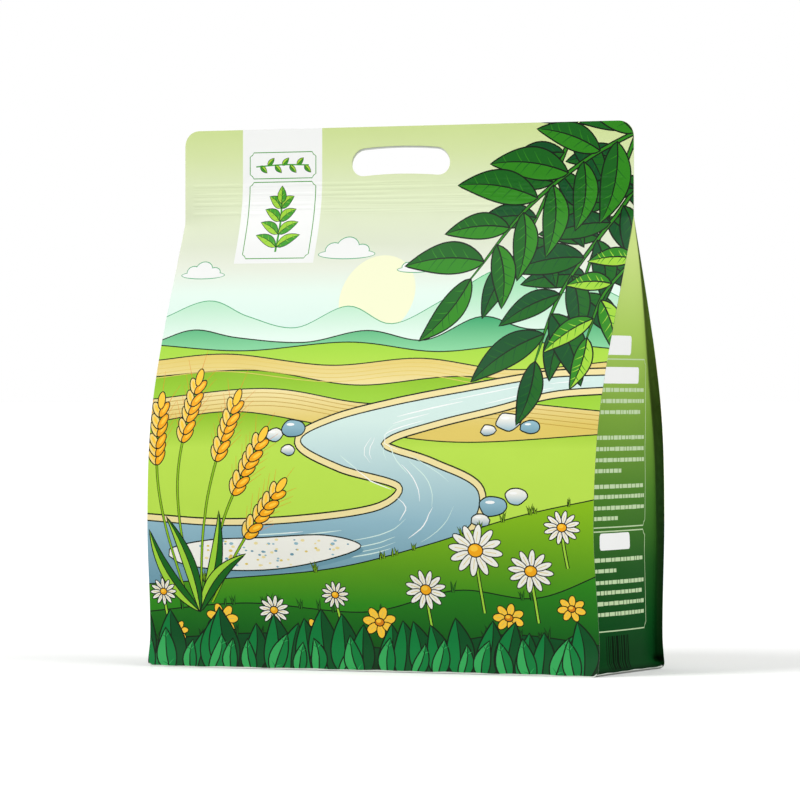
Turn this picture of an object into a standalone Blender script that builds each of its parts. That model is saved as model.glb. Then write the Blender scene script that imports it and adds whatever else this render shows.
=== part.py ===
# A filled flat-bottom litter bag with side gussets, sealed and standing on its base.
# Metres, +Z up. The front faces -Y, and the origin is the middle of the base.
import math

import bmesh
import bpy

# Heights above the floor, and drops below the top edge
BAG_HEIGHT = 0.330
WAIST_HEIGHT = 0.020
BELLY_HEIGHT = 0.092
SHOULDER_HEIGHT = 0.163
NECK_DROP = 0.080
GUSSET_TOP_DROP = 0.0575

# Width from fin tip to fin tip, and how much the swollen parts draw it in
BAG_WIDTH = 0.300
BELLY_DRAW_IN = 0.0054
BASE_DRAW_IN = 0.002

# Depth from the front fins to the back fins
BASE_DEPTH = 0.107
WAIST_DEPTH = 0.1012
BELLY_DEPTH = 0.1136
SHOULDER_DEPTH = 0.0948

# Depth of the whole bag at the neck, and how far the contents push each film past its fins
NECK_DEPTH = 0.025
WAIST_SWELL = 0.002
BELLY_SWELL = 0.008
SHOULDER_SWELL = 0.0055
SIDE_SWELL = 0.0035

# How squarely a swollen panel meets its fins: low numbers curve all the way across
BELLY_SQUARENESS = 2.6
NECK_SQUARENESS = 9.0

# Sealed edges: a fin is two films, and the header is two fins thick
FIN_THICKNESS = 0.0006
FIN_WIDTH = 0.006
FLANGE_THICKNESS = 0.0012
FLANGE_FLARE = 0.007
TOP_CORNER_RADIUS = 0.0095
BOTTOM_CORNER_RADIUS = 0.004

# The middle of each sealed edge of the base stands a little off the floor
FRONT_EDGE_LIFT = 0.0018
SIDE_EDGE_LIFT = 0.001
LIFT_FADE = 0.012
BASE_SEAL_WIDTH = 0.008

# Handle slot through the header
SLOT_WIDTH = 0.066
SLOT_HEIGHT = 0.017
SLOT_DROP = 0.0205
SLOT_ARCH = 0.002
SLOT_OFFSET = -0.0027
CUTTER_REACH = 0.004

# Press-to-close strip: fine ribs across the header, under the slot
ZIP_DROP = 0.033
ZIP_RIBS = 7
ZIP_PITCH = 0.0029
ZIP_RIB_HEIGHT = 0.0003
ZIP_END_MARGIN = 0.007

# Mesh density
PANEL_COLUMNS = 26
SIDE_COLUMNS = 8
BODY_LEVEL_STEP = 0.0125
FLANGE_STEPS = (0.06, 0.2, 0.45, 1.0)
CORNER_STEPS = 5
SLOT_END_STEPS = 8
SLOT_LENGTH_STEPS = 6

GUSSET_TOP = BAG_HEIGHT - GUSSET_TOP_DROP
NECK_HEIGHT = BAG_HEIGHT - NECK_DROP
ZIP_TOP = BAG_HEIGHT - ZIP_DROP
ZIP_BOTTOM = ZIP_TOP - ZIP_RIBS * ZIP_PITCH


def clear_scene():
    for obj in list(bpy.data.objects):
        bpy.data.objects.remove(obj, do_unlink=True)


def collection_named(name):
    collection = bpy.data.collections.new(name)
    bpy.context.scene.collection.children.link(collection)
    return collection


def film_material(name, color, roughness):
    material = bpy.data.materials.new(name)
    material.use_nodes = True
    shader = material.node_tree.nodes["Principled BSDF"]
    shader.inputs["Base Color"].default_value = (*color, 1.0)
    shader.inputs["Roughness"].default_value = roughness
    shader.inputs["Metallic"].default_value = 0.0
    return material


def ease(t):
    t = min(max(t, 0.0), 1.0)
    return t * t * (3 - 2 * t)


def through(points, height, level_top=False):
    # A smooth curve through (height, value) points. level_top makes it arrive upright at the last one.
    last = len(points) - 1
    if height <= points[0][0]:
        return points[0][1]
    if height >= points[last][0]:
        return points[last][1]
    slopes = []
    for i in range(last + 1):
        before = points[max(i - 1, 0)]
        after = points[min(i + 1, last)]
        slopes.append((after[1] - before[1]) / (after[0] - before[0]))
    if level_top:
        slopes[last] = 0.0
    i = 0
    while height > points[i + 1][0]:
        i += 1
    low, low_value = points[i]
    high, high_value = points[i + 1]
    span = high - low
    t = (height - low) / span
    start = t * (1 - t) ** 2 * span * slopes[i]
    end = t * t * (t - 1) * span * slopes[i + 1]
    return low_value + ease(t) * (high_value - low_value) + start + end


def fin_depth(z):
    # Half the depth between the front and the back fins.
    points = [
        (0.0, BASE_DEPTH / 2),
        (WAIST_HEIGHT, WAIST_DEPTH / 2),
        (BELLY_HEIGHT, BELLY_DEPTH / 2),
        (SHOULDER_HEIGHT, SHOULDER_DEPTH / 2),
        (GUSSET_TOP, FIN_THICKNESS),
    ]
    return max(through(points, z), FIN_THICKNESS)


def middle_depth(z):
    # Half the depth in the middle of the bag, up to where the zip strip holds the films together.
    points = [
        (0.0, BASE_DEPTH / 2),
        (WAIST_HEIGHT, WAIST_DEPTH / 2 + WAIST_SWELL),
        (BELLY_HEIGHT, BELLY_DEPTH / 2 + BELLY_SWELL),
        (SHOULDER_HEIGHT, SHOULDER_DEPTH / 2 + SHOULDER_SWELL),
        (NECK_HEIGHT, NECK_DEPTH / 2),
        (ZIP_TOP, FIN_THICKNESS),
    ]
    return max(through(points, z, level_top=True), FIN_THICKNESS)


def half_width(z):
    points = [
        (0.0, (BAG_WIDTH - BASE_DRAW_IN) / 2),
        (BELLY_HEIGHT, (BAG_WIDTH - BELLY_DRAW_IN) / 2),
        (GUSSET_TOP, BAG_WIDTH / 2),
    ]
    rounded = 0.0
    for radius, into in (
        (TOP_CORNER_RADIUS, z - BAG_HEIGHT + TOP_CORNER_RADIUS),
        (BOTTOM_CORNER_RADIUS, BOTTOM_CORNER_RADIUS - z),
    ):
        if into > 0:
            rounded += radius - math.sqrt(max(radius**2 - into**2, 0.0))
    return through(points, z, level_top=True) - rounded


def zip_rib(z, x):
    if not ZIP_BOTTOM < z < ZIP_TOP or abs(x) > BAG_WIDTH / 2 - ZIP_END_MARGIN:
        return 0.0
    turn = (z - ZIP_BOTTOM) / ZIP_PITCH * 2 * math.pi
    return ZIP_RIB_HEIGHT * (1 - math.cos(turn)) / 2


def panel_line(z):
    # The front film at this height, from the left fin tip to the right one.
    tip = half_width(z)
    inner = tip - FIN_WIDTH
    depth = fin_depth(z)
    swell = middle_depth(z) - depth
    narrowing = ease((z - SHOULDER_HEIGHT) / (NECK_HEIGHT - SHOULDER_HEIGHT))
    squareness = BELLY_SQUARENESS + (NECK_SQUARENESS - BELLY_SQUARENESS) * narrowing
    line = [(-tip, -depth)]
    for i in range(PANEL_COLUMNS + 1):
        across = math.sin(math.pi / 2 * (2 * i / PANEL_COLUMNS - 1))
        x = inner * across
        out = swell * (1 - abs(across) ** squareness) + zip_rib(z, x)
        line.append((x, -depth - out))
    return line + [(tip, -depth)]


def gusset_line(z):
    # The right side at this height, from the front fin to the back fin. It lies behind the fin
    # tips, and comes out to them at its point above and at the flange below.
    tip = half_width(z)
    gap = fin_depth(z) - FIN_THICKNESS
    below_point = ease((GUSSET_TOP - z) / (GUSSET_TOP - SHOULDER_HEIGHT))
    above_flange = math.sqrt(ease((z - FLANGE_THICKNESS) / FLANGE_FLARE))
    root = tip - FIN_WIDTH * below_point * above_flange
    swell = SIDE_SWELL * ease(gap * 2 / BELLY_DEPTH) * above_flange
    line = [(tip, -gap)]
    for i in range(SIDE_COLUMNS + 1):
        along = 2 * i / SIDE_COLUMNS - 1
        line.append((root + swell * (1 - along**2), gap * along))
    return line + [(tip, gap)]


def ring_at(z):
    # One closed ring, anticlockwise seen from above, from the left tip of the front film.
    front = panel_line(z)
    right = gusset_line(z)
    ring = front + right
    ring += [(x, -y) for x, y in reversed(front)]
    ring += [(-x, -y) for x, y in right]
    return [(x, y, z + edge_lift(x, y, z)) for x, y in ring]


def edge_lift(x, y, z):
    along_front = FRONT_EDGE_LIFT * (1 - min(abs(x) / half_width(z), 1.0) ** 2)
    along_side = SIDE_EDGE_LIFT * (1 - min(abs(y) / fin_depth(z), 1.0) ** 2)
    return max(along_front, along_side) * max(1 - z / LIFT_FADE, 0.0)


def levels():
    found = [0.0, FLANGE_THICKNESS]
    found += [FLANGE_THICKNESS + FLANGE_FLARE * share for share in FLANGE_STEPS]
    start = found[-1]
    steps = math.ceil((GUSSET_TOP - start) / BODY_LEVEL_STEP)
    found += [start + (GUSSET_TOP - start) * i / steps for i in range(1, steps + 1)]
    found += [ZIP_BOTTOM + ZIP_PITCH * i / 2 for i in range(2 * ZIP_RIBS + 1)]
    corner = BAG_HEIGHT - TOP_CORNER_RADIUS
    for i in range(CORNER_STEPS + 1):
        found.append(corner + TOP_CORNER_RADIUS * math.sin(math.pi / 2 * i / CORNER_STEPS))
    return sorted(found)


def join_rings(mesh, lower, upper, header, count_panel):
    count = len(lower)
    side = count // 2 - count_panel
    for i in range(count):
        j = (i + 1) % count
        face = mesh.faces.new((lower[i], lower[j], upper[j], upper[i]))
        on_side = count_panel <= i + 1 and i % (count_panel + side) >= count_panel - 1
        face.material_index = 0 if header else 2 if on_side else 1


def close_top(mesh, ring, count_panel):
    # Strips join the two films, and each end strip also takes in the middle of the side edge.
    half = len(ring) // 2
    front = ring[:count_panel]
    back = ring[half : half + count_panel]
    for i in range(count_panel - 1):
        strip = [front[i], front[i + 1], back[count_panel - 2 - i], back[count_panel - 1 - i]]
        if i == 0:
            strip.append(ring[half + count_panel])
        if i == count_panel - 2:
            strip.insert(2, ring[count_panel])
        mesh.faces.new(strip)


def close_base(mesh, ring):
    # A sealed border comes down from the raised edge to the flat panel that stands on the floor.
    across = 1 - BASE_SEAL_WIDTH / half_width(0.0)
    along = 1 - BASE_SEAL_WIDTH / fin_depth(0.0)
    inner = [mesh.verts.new((vert.co.x * across, vert.co.y * along, 0.0)) for vert in ring]
    faces = [mesh.faces.new(list(reversed(inner)))]
    for i in range(len(ring)):
        j = (i + 1) % len(ring)
        faces.append(mesh.faces.new((ring[j], ring[i], inner[i], inner[j])))
    for face in faces:
        face.material_index = 2


def make_bag(collection):
    mesh = bmesh.new()
    heights = levels()
    count_panel = len(panel_line(0.0))
    rings = [[mesh.verts.new(point) for point in ring_at(z)] for z in heights]
    for z, lower, upper in zip(heights, rings, rings[1:]):
        join_rings(mesh, lower, upper, z >= GUSSET_TOP, count_panel)
    close_top(mesh, rings[-1], count_panel)
    close_base(mesh, rings[0])
    bmesh.ops.remove_doubles(mesh, verts=mesh.verts, dist=1e-6)
    bmesh.ops.recalc_face_normals(mesh, faces=mesh.faces)
    data = bpy.data.meshes.new("bag")
    mesh.to_mesh(data)
    mesh.free()
    data.materials.append(film_material("header_film", (0.63, 0.76, 0.30), 0.42))
    data.materials.append(film_material("panel_film", (0.22, 0.48, 0.12), 0.42))
    data.materials.append(film_material("gusset_film", (0.12, 0.30, 0.09), 0.42))
    data.shade_smooth()
    data.set_sharp_from_angle(angle=math.radians(35))
    bag = bpy.data.objects.new("bag", data)
    collection.objects.link(bag)
    return bag


def slot_outline():
    # A round-ended slot, then bent so that its ends hang lower than its middle.
    radius = SLOT_HEIGHT / 2
    reach = SLOT_WIDTH / 2 - radius
    outline = []
    for end in (1, -1):
        for i in range(SLOT_END_STEPS + 1):
            angle = math.pi * (i / SLOT_END_STEPS - 0.5)
            outline.append((end * (reach + radius * math.cos(angle)), end * radius * math.sin(angle)))
        for i in range(1, SLOT_LENGTH_STEPS):
            outline.append((end * reach * (1 - 2 * i / SLOT_LENGTH_STEPS), end * radius))
    return [(x, y - SLOT_ARCH * (x / (SLOT_WIDTH / 2)) ** 2) for x, y in outline]


def make_slot_cutter(collection):
    outline = slot_outline()
    middle = BAG_HEIGHT - SLOT_DROP
    curve = bpy.data.curves.new("slot_outline", "CURVE")
    curve.dimensions = "2D"
    curve.fill_mode = "BOTH"
    curve.extrude = middle_depth(middle - SLOT_HEIGHT) + CUTTER_REACH
    spline = curve.splines.new("POLY")
    spline.points.add(len(outline) - 1)
    for point, (x, y) in zip(spline.points, outline):
        point.co = (x, y, 0.0, 1.0)
    spline.use_cyclic_u = True
    guide = bpy.data.objects.new("slot_outline", curve)
    guide.location = (SLOT_OFFSET, 0.0, middle)
    guide.rotation_euler = (math.radians(90), 0.0, 0.0)
    collection.objects.link(guide)
    bpy.context.view_layer.update()
    evaluated = guide.evaluated_get(bpy.context.evaluated_depsgraph_get())
    data = bpy.data.meshes.new_from_object(evaluated)
    mesh = bmesh.new()
    mesh.from_mesh(data)
    bmesh.ops.remove_doubles(mesh, verts=mesh.verts, dist=1e-6)
    bmesh.ops.recalc_face_normals(mesh, faces=mesh.faces)
    mesh.to_mesh(data)
    mesh.free()
    cutter = bpy.data.objects.new("slot_cutter", data)
    cutter.matrix_world = guide.matrix_world.copy()
    collection.objects.link(cutter)
    bpy.data.objects.remove(guide, do_unlink=True)
    cutter.hide_render = True
    cutter.display_type = "WIRE"
    return cutter


def cut(target, cutter):
    modifier = target.modifiers.new(cutter.name, "BOOLEAN")
    modifier.operation = "DIFFERENCE"
    modifier.solver = "EXACT"
    modifier.object = cutter


clear_scene()
bag = make_bag(collection_named("litter_bag"))
cut(bag, make_slot_cutter(collection_named("cutters")))
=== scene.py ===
# The looks of a filled litter bag: five printed films, sealed to each other along their fins.
# Metres, +Z up, the front faces -Y. Prints are laid out flat, in millimetres.
import math
import random

import bpy
import numpy as np
from mathutils import Matrix, Vector, kdtree
from mathutils.geometry import delaunay_2d_cdt


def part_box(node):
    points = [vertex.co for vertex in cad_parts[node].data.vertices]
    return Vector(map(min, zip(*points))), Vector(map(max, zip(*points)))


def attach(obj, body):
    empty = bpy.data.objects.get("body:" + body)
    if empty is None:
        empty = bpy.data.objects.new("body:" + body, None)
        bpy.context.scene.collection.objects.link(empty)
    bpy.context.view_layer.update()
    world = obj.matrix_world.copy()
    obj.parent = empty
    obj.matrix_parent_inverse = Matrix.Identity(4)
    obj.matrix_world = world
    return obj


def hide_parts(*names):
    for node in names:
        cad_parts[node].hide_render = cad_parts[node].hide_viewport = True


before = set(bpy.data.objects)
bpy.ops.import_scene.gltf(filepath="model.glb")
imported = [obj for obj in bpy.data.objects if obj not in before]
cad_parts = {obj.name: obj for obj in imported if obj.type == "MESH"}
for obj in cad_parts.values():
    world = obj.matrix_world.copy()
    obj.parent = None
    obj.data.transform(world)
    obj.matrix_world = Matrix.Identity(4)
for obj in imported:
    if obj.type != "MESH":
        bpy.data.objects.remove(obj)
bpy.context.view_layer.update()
lowCorner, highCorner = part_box("bag")
mm = 0.001


# Form of the filled bag, as its solid has it but for the nearly level bottom edges

bagForm = {
    "height": highCorner.z,
    "width": highCorner.x - lowCorner.x,
    "waist": 0.020,
    "belly": 0.092,
    "shoulder": 0.163,
    "neckDrop": 0.080,
    "gussetDrop": 0.0575,
    "zipDrop": 0.033,
    "bellyDrawIn": 0.0054,
    "baseDrawIn": 0.002,
    "baseDepth": 0.107,
    "waistDepth": 0.1012,
    "bellyDepth": 0.1136,
    "shoulderDepth": 0.0948,
    "neckDepth": 0.025,
    "waistSwell": 0.002,
    "bellySwell": 0.008,
    "shoulderSwell": 0.0055,
    "sideSwell": 0.0035,
    "bellySquareness": 2.6,
    "neckSquareness": 9.0,
    "fin": 0.0006,
    "finWidth": 0.006,
    "foldRadius": 0.0011,
    "film": 0.00028,
    "seamGap": 0.00002,
    "flange": 0.0012,
    "flangeFlare": 0.007,
    "topCorner": 0.0095,
    "bottomCorner": 0.004,
    "frontLift": 0.0004,
    "sideLift": 0.0002,
    "liftFade": 0.012,
}
gussetTop = bagForm["height"] - bagForm["gussetDrop"]
neckHeight = bagForm["height"] - bagForm["neckDrop"]
zipTop = bagForm["height"] - bagForm["zipDrop"]


def ease(t):
    t = np.clip(t, 0.0, 1.0)
    return t * t * (3 - 2 * t)


def through(points, height, levelTop=False):
    # a smooth curve through (height, value) points; with levelTop its value settles at the top
    heights, values = np.array(points, float).T
    last = len(points) - 1
    before = np.maximum(np.arange(last + 1) - 1, 0)
    after = np.minimum(np.arange(last + 1) + 1, last)
    slopes = (values[after] - values[before]) / (heights[after] - heights[before])
    if levelTop:
        slopes[last] = 0.0
    z = np.clip(np.asarray(height, float), heights[0], heights[-1])
    i = np.clip(np.searchsorted(heights, z, side="right") - 1, 0, last - 1)
    span = heights[i + 1] - heights[i]
    t = (z - heights[i]) / span
    bend = t * (1 - t) ** 2 * span * slopes[i] + t * t * (t - 1) * span * slopes[i + 1]
    return values[i] + ease(t) * (values[i + 1] - values[i]) + bend


def finDepth(z):
    # half the depth between the front fins and the back fins
    b = bagForm
    points = [(0.0, b["baseDepth"] / 2)]
    points += [(b[name], b[name + "Depth"] / 2) for name in ("waist", "belly", "shoulder")]
    points += [(gussetTop, b["fin"])]
    return np.maximum(through(points, z), b["fin"])


def middleDepth(z):
    # half the depth halfway across the swollen panels
    b = bagForm
    points = [(0.0, b["baseDepth"] / 2)]
    for name in ("waist", "belly", "shoulder"):
        points.append((b[name], b[name + "Depth"] / 2 + b[name + "Swell"]))
    points += [(neckHeight, b["neckDepth"] / 2), (zipTop, b["fin"])]
    return np.maximum(through(points, z, levelTop=True), b["fin"])


def halfWidth(z):
    b = bagForm
    points = [
        (0.0, (b["width"] - b["baseDrawIn"]) / 2),
        (b["belly"], (b["width"] - b["bellyDrawIn"]) / 2),
        (gussetTop, b["width"] / 2),
    ]
    width = through(points, z, levelTop=True)
    for radius, beyond in ((b["topCorner"], z - b["height"]), (b["bottomCorner"], -z)):
        into = np.clip(beyond + radius, 0.0, radius)
        width = width - radius + np.sqrt(np.maximum(radius**2 - into**2, 0.0))
    return width


def panelDepth(x, z):
    # how far the outer face of the front film stands in front of the bag's middle plane
    b = bagForm
    depth = finDepth(z)
    narrowing = ease((z - b["shoulder"]) / (neckHeight - b["shoulder"]))
    squareness = b["bellySquareness"] + (b["neckSquareness"] - b["bellySquareness"]) * narrowing
    across = np.clip(np.abs(x) / (halfWidth(z) - b["finWidth"]), 0.0, 1.0)
    return depth + (middleDepth(z) - depth) * (1 - across**squareness)


def edgeLift(x, y, z):
    # the sealed edge of the base stands a little off the floor between its corners
    alongFront = bagForm["frontLift"] * (1 - np.clip(np.abs(x) / halfWidth(z), 0, 1) ** 2)
    alongSide = bagForm["sideLift"] * (1 - np.clip(np.abs(y) / finDepth(z), 0, 1) ** 2)
    return np.maximum(alongFront, alongSide) * np.maximum(1 - z / bagForm["liftFade"], 0.0)


# Inks, and the pen that lays flat shapes on a print in paint order

inkCodes = {
    # the neck ink, darker than those above and below it, is painted shade against the stronger light on the
    # sloping neck
    "headerTop": "cfe097", "headerHigh": "d7e5a8", "headerMid": "dfeabf", "headerLow": "dce5c4",
    "neckShade": "d8dfc8", "cream": "e0e5d6", "mist": "dff1e6", "aqua": "d3eae1", "water": "cfe6df",
    "tealFar": "8fd6a2", "teal": "3fa36c",
    "lime": "9fd23c", "limePale": "b7dc4e", "meadow": "86b81a", "leaf": "2f861a",
    "leafDark": "17621a", "pine": "0a4d22", "deep": "0a2c0e",
    "tan": "dcc464", "sand": "ecdca0", "straw": "f2d478", "earth": "b9963c",
    "blueGrey": "8fb6c4", "slate": "6c98a9", "bone": "f0efe6", "white": "f5f6f4", "paper": "ebecea",
    "orange": "f5a91a", "amber": "ffc93c", "rust": "d9801a",
    "pen": "0e1a0c", "core": "d2d7cf", "inside": "cfd2ce",
    "labelGreen": "3f9a2a", "gussetTop": "d0e58a", "gussetHigh": "aed062", "gussetMid": "7ba43f",
    "gussetLow": "4a7d2c", "gussetDark": "245822", "gussetFoot": "0f4a1c", "gussetHem": "0a3e18",
    # the darkest gusset green, at its very foot, is painted shade below the flare into the bottom seal
    "gussetFootShade": "04290f", "sun": "eef0cc",
    # the fin inks are painted shade for the fin bands beside the gusset's folds
    "finShadeTop": "566a2e", "finShadeHigh": "3d5220", "finShadeMid": "325027", "finShadeLow": "22421f", "finShadeFoot": "0f3616",
    "rule": "c3d9ac", "stripe": "041606",
    "bushGreen": "0f7a3a", "bushLight": "35a557", "baseGreen": "1a4d22",
}


def linear(code):
    parts = [int(code[i : i + 2], 16) / 255 for i in (0, 2, 4)]
    return np.array([c / 12.92 if c <= 0.04045 else ((c + 0.055) / 1.055) ** 2.4 for c in parts])


inks = {name: linear(code) for name, code in inkCodes.items()}


def flatInk(name):
    return lambda points: np.tile(inks[name], (len(points), 1))


def fade(stops):
    # stops are (height, ink name)
    heights = [height for height, name in stops]
    channels = np.array([inks[name] for height, name in stops]).T

    def ink(points):
        return np.stack([np.interp(points[:, 1], heights, channel) for channel in channels], axis=1)

    return ink


def fill(sheet, outline, ink):
    # ink is a name, or a function that gives each point its colour
    sheet.append(([np.asarray(outline, float)], flatInk(ink) if isinstance(ink, str) else ink))


def box(sheet, left, low, right, high, ink):
    fill(sheet, [(left, low), (right, low), (right, high), (left, high)], ink)


def unit(vectors):
    return vectors / np.maximum(np.linalg.norm(vectors, axis=-1, keepdims=True), 1e-9)


def leftOf(along):
    # the directions turned a quarter turn to the left
    return np.stack([-along[..., 1], along[..., 0]], axis=-1)


def stroke(sheet, path, width, ink="pen", thin=(0.0, 0.0)):
    # thin says how much finer the line is at its start and at its end
    path = np.asarray(path, float)
    across = leftOf(unit(np.gradient(path, axis=0)))
    t = np.linspace(0, 1, len(path))[:, None]
    half = width / 2 * (1 - thin[0] * (1 - t) ** 3 - thin[1] * t**3)
    fill(sheet, np.vstack([path + across * half, (path - across * half)[::-1]]), ink)


def grown(outline, by):
    # the closed outline moved outwards
    outline = np.asarray(outline, float)
    ahead, behind = np.roll(outline, -1, axis=0), np.roll(outline, 1, axis=0)
    turning = np.sign(np.sum(outline[:, 0] * ahead[:, 1] - ahead[:, 0] * outline[:, 1]))
    return outline - leftOf(unit(ahead - behind)) * turning * by


def outlined(sheet, outline, ink, pen=0.7, penInk="pen"):
    # the shape in the pen's ink, and its own ink on top, inside the line
    fill(sheet, grown(outline, pen / 2), penInk)
    inner = grown(outline, -pen / 2)
    fill(sheet, inner, ink)
    return inner


def ring(sheet, outline, width, ink):
    # a closed line and nothing inside it
    loops = [grown(outline, width / 2), grown(outline, -width / 2)[::-1]]
    sheet.append((loops, flatInk(ink)))


def smooth(points, step=2.5, closed=False):
    # a Catmull-Rom curve through the points
    points = np.array(points, float)
    if closed:
        padded = np.vstack([points[-1], points, points[0], points[1]])
    else:
        padded = np.vstack([2 * points[0] - points[1], points, 2 * points[-1] - points[-2]])
    parts = []
    for a, b, c, d in zip(padded, padded[1:], padded[2:], padded[3:]):
        count = max(int(round(np.linalg.norm(c - b) / step)), 1)
        t = np.arange(count)[:, None] / count
        curve = 2 * b + (c - a) * t + (2 * a - 5 * b + 4 * c - d) * t**2
        parts.append((curve + (3 * b - a - 3 * c + d) * t**3) / 2)
    if not closed:
        parts.append(points[-1:])
    return np.vstack(parts)


def oval(centre, reach, turn=0.0, step=2.0):
    count = max(int(math.tau * max(reach) / step), 10)
    angles = np.arange(count) * math.tau / count
    x, z = reach[0] * np.cos(angles), reach[1] * np.sin(angles)
    c, s = math.cos(turn), math.sin(turn)
    return np.c_[centre[0] + x * c - z * s, centre[1] + x * s + z * c]


def roundedBox(left, low, right, high, radius):
    middle = np.array([left + right, low + high]) / 2
    reach = np.array([right - left, high - low]) / 2 - radius
    signs = np.repeat([(1, 1), (-1, 1), (-1, -1), (1, -1)], 5, axis=0)
    angles = np.radians([90 * quarter + 22.5 * k for quarter in range(4) for k in range(5)])
    return middle + reach * signs + radius * np.c_[np.cos(angles), np.sin(angles)]


def notchedBox(left, low, right, high, notch):
    # a frame whose corners step in with a small slant
    step = notch * 0.6
    corners = []
    for sx, sz in ((1, 1), (-1, 1), (-1, -1), (1, -1)):
        x, z = right if sx > 0 else left, high if sz > 0 else low
        cut = [(x, z - sz * notch), (x - sx * step, z - sz * step), (x - sx * notch, z)]
        corners += cut if sx * sz > 0 else cut[::-1]
    return np.array(corners)


# Motifs of the print

def leaf(sheet, base, tip, width, bend=0.0, dark="leafDark", light="leaf", veins=5, pen=0.7):
    base, tip = np.array(base, float), np.array(tip, float)
    axis = tip - base
    length = np.linalg.norm(axis)
    across = leftOf(axis) / length
    t = np.linspace(0, 1, max(int(length / 2.4), 8))[:, None]
    rib = base + axis * t + across * bend * 4 * t * (1 - t)
    half = width / 2 * np.sin(math.pi * t**0.8) ** 0.9
    upper, lower = rib + across * half, rib - across * half
    inner = outlined(sheet, np.vstack([upper, lower[-2:0:-1]]), dark, pen)
    fill(sheet, np.vstack([inner[: len(upper)], rib[-2:0:-1]]), light)
    for k in range(veins):
        at = 0.2 + 0.6 * k / max(veins - 1, 1)
        i = int(at * (len(rib) - 1))
        reach = half[i] * 0.78
        for side, ink in ((1, dark), (-1, light)):
            end = rib[i] + across * side * reach + axis / length * reach * 0.75
            middle = (rib[i] + end) / 2 - across * side * reach * 0.06
            stroke(sheet, smooth([rib[i], middle, end], 5), 0.6 * pen, ink, thin=(0, 0.8))
    stroke(sheet, rib[::2], pen, "pen", thin=(0, 0.7))


def leafSpray(sheet, stem, count, size, dark, light, lean, rng):
    # leaves on both sides of a stem and one at its tip
    path = smooth(stem, 4)
    along = unit(np.gradient(path, axis=0))
    stroke(sheet, path, 3.2, "pen", thin=(0, 0.6))
    stroke(sheet, path, 1.5, "leaf", thin=(0, 0.6))
    for k in range(count):
        i = int((0.08 + 0.92 * k / (count - 1)) * (len(path) - 1))
        side = 1 if k % 2 else -1
        angle = side * lean * rng.uniform(0.8, 1.15) if k < count - 1 else 0.0
        c, s = math.cos(angle), math.sin(angle)
        direction = np.array([along[i][0] * c - along[i][1] * s, along[i][0] * s + along[i][1] * c])
        length = size * rng.uniform(0.8, 1.1)
        tip = path[i] + direction * length
        leaf(sheet, path[i], tip, length * 0.38, side * length * 0.07, dark, light, pen=0.9)


def daisy(sheet, centre, radius, petals, turn, petalInk="bone", tilt=0.85, heart="orange"):
    cx, cz = centre
    reach = (radius * 0.4, radius * 1.75 / petals)
    for k in range(petals):
        a = turn + k * math.tau / petals
        dx, dz = math.cos(a) * radius, math.sin(a) * radius * tilt
        petal = oval((cx + dx * 0.62, cz + dz * 0.62), reach, math.atan2(dz, dx))
        outlined(sheet, petal, petalInk, 0.6)
        crease = [(cx + dx * 0.36, cz + dz * 0.36), (cx + dx * 0.78, cz + dz * 0.78)]
        stroke(sheet, crease, 0.35, "tan")
    outlined(sheet, oval(centre, (radius * 0.28, radius * 0.28 * tilt), step=1.6), heart)
    glint = oval((cx - radius * 0.05, cz + radius * 0.07), (radius * 0.15, radius * 0.11), step=1.2)
    fill(sheet, glint, "amber")


def grainEar(sheet, stem, pairs, kernel, rng):
    # pairs of kernels up to the tip of the stem, each with its awn, and one kernel on top
    path = smooth(stem)
    stroke(sheet, path, 1.9, "pen")
    stroke(sheet, path, 1.1, "meadow")
    along = unit(np.gradient(path, axis=0))
    steps = np.cumsum(np.r_[0, np.linalg.norm(np.diff(path, axis=0), axis=1)])
    for k in range(pairs, -1, -1):
        at = steps[-1] - k * kernel * 0.62
        i = int(np.argmin(np.abs(steps - at)))
        for side in (1, -1) if k else (0,):
            angle = math.atan2(along[i][1], along[i][0]) + side * 0.55
            out = np.array([math.cos(angle), math.sin(angle)])
            middle = path[i] + out * kernel * 0.5
            awn = [middle, middle + out * kernel * rng.uniform(1.3, 1.9)]
            stroke(sheet, awn, 0.45, "rust", thin=(0, 0.7))
            ink = "straw" if side > 0 else "orange" if side < 0 else "amber"
            outlined(sheet, oval(middle, (kernel * 0.56, kernel * 0.27), angle, 1.8), ink)
            fill(sheet, oval(middle + out * kernel * 0.08, (kernel * 0.3, kernel * 0.1), angle), "amber")


def grassTuft(sheet, base, height, ink, rng):
    # three blades that lean apart
    for k in range(3):
        lean = (k - 1) * height * 0.16 + rng.uniform(-1, 1)
        tall = height * rng.uniform(0.7, 1.0) * (1 - 0.06 * abs(k - 1.5))
        foot = np.array([base[0] + lean * 0.25, base[1]])
        tip = foot + np.array([lean * 1.3, tall])
        half = max(height * 0.045, 0.5)
        bow = foot + (tip - foot) * 0.55 - np.array([lean * 0.22, 0.0])
        left = smooth([foot - (half, 0), bow - (half * 0.8, 0), tip], 3)
        right = smooth([foot + (half, 0), bow + (half * 0.8, 0), tip], 3)
        outlined(sheet, np.vstack([left, right[-2::-1]]), ink, 0.4)


def pebble(sheet, centre, reach, ink, shade, rng):
    (cx, cz), (wide, tall) = centre, reach
    points = []
    for k in range(9):
        a = k * math.tau / 9
        r = rng.uniform(0.86, 1.08)
        points.append((cx + wide * r * math.cos(a), cz + tall * r * math.sin(a)))
    shape = smooth(points, 2.0, closed=True)
    outlined(sheet, shape, fade([(cz - tall, shade), (cz + tall * 0.4, ink)]), 0.8)
    fill(sheet, oval((cx - wide * 0.25, cz + tall * 0.42), (wide * 0.34, tall * 0.16)), "white")


def land(sheet, crest, foot, ink, pen=0.7, penInk="pen"):
    line = smooth(crest, 4)
    fill(sheet, np.vstack([line, [(line[-1][0], foot), (line[0][0], foot)]]), ink)
    stroke(sheet, line, pen, penInk)


# The front and back print: a made-up valley with a winding stream, sprays of leaves and flowers

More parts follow.
